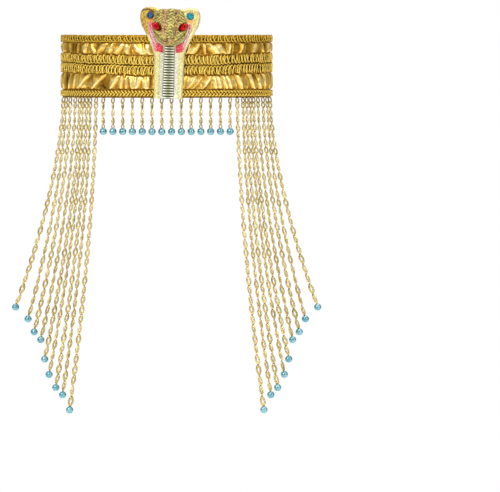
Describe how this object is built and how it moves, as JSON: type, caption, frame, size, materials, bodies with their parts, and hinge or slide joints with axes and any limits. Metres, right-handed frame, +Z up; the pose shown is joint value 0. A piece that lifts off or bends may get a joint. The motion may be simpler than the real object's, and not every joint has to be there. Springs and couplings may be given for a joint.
{
  "type": "snake headpiece",
  "caption": "Gold costume headband of gathered cloth with braid trims, a raised cobra ornament in front, short bead drops over the forehead and long bead chains at both temples.",
  "frame": {"origin": "middle of the head opening, level with the band's lower edge", "axes": "+Z up, -Y to the front where the cobra is, +X to the viewer's right"},
  "size_m": [0.2488, 0.2136, 0.3237],
  "materials": {
    "lame": "glossy gold lame cloth, gathered",
    "gimp": "shiny gold gimp braid",
    "pale_gold": "moulded plastic with pale gold glitter",
    "khaki_gold": "moulded scales in dark khaki gold",
    "scute": "dark olive ribs with silver edges",
    "blue_stone": "foil-backed faceted acrylic",
    "red_stone": "foil-backed faceted acrylic",
    "red_glitter": "red and pink glitter paint",
    "chain_gold": "polished gold-tone chain links",
    "turquoise": "pearly turquoise beads"
  },
  "bodies": {
    "root": {"band_cloth": "lame", "bottom_braid": "gimp", "middle_braid": "gimp", "top_braid": "gimp", "snake_hood": "pale_gold", "snake_head": "khaki_gold", "belly_scutes": "scute", "hood_jewel_left": "blue_stone", "hood_jewel_right": "blue_stone", "eye_stone_left": "red_stone", "eye_stone_right": "red_stone", "throat_mark_left": "red_glitter", "throat_mark_right": "red_glitter", "front_chain_01": "chain_gold", "front_chain_02": "chain_gold", "front_chain_03": "chain_gold", "front_chain_04": "chain_gold", "front_chain_05": "chain_gold", "front_chain_06": "chain_gold", "front_chain_07": "chain_gold", "front_chain_08": "chain_gold", "front_chain_09": "chain_gold", "front_chain_10": "chain_gold", "front_chain_11": "chain_gold", "front_chain_12": "chain_gold", "front_chain_13": "chain_gold", "front_chain_14": "chain_gold", "front_bead_01": "turquoise", "front_bead_02": "turquoise", "front_bead_03": "turquoise", "front_bead_04": "turquoise", "front_bead_05": "turquoise", "front_bead_06": "turquoise", "front_bead_07": "turquoise", "front_bead_08": "turquoise", "front_bead_09": "turquoise", "front_bead_10": "turquoise", "front_bead_11": "turquoise", "front_bead_12": "turquoise", "front_bead_13": "turquoise", "front_bead_14": "turquoise", "left_strand_1": "chain_gold", "left_strand_2": "chain_gold", "left_strand_3": "chain_gold", "left_strand_4": "chain_gold", "left_strand_5": "chain_gold", "left_strand_6": "chain_gold", "left_strand_7": "chain_gold", "left_strand_8": "chain_gold", "left_strand_9": "chain_gold", "right_strand_1": "chain_gold", "right_strand_2": "chain_gold", "right_strand_3": "chain_gold", "right_strand_4": "chain_gold", "right_strand_5": "chain_gold", "right_strand_6": "chain_gold", "right_strand_7": "chain_gold", "right_strand_8": "chain_gold", "right_strand_9": "chain_gold"}
  },
  "joints": []
}
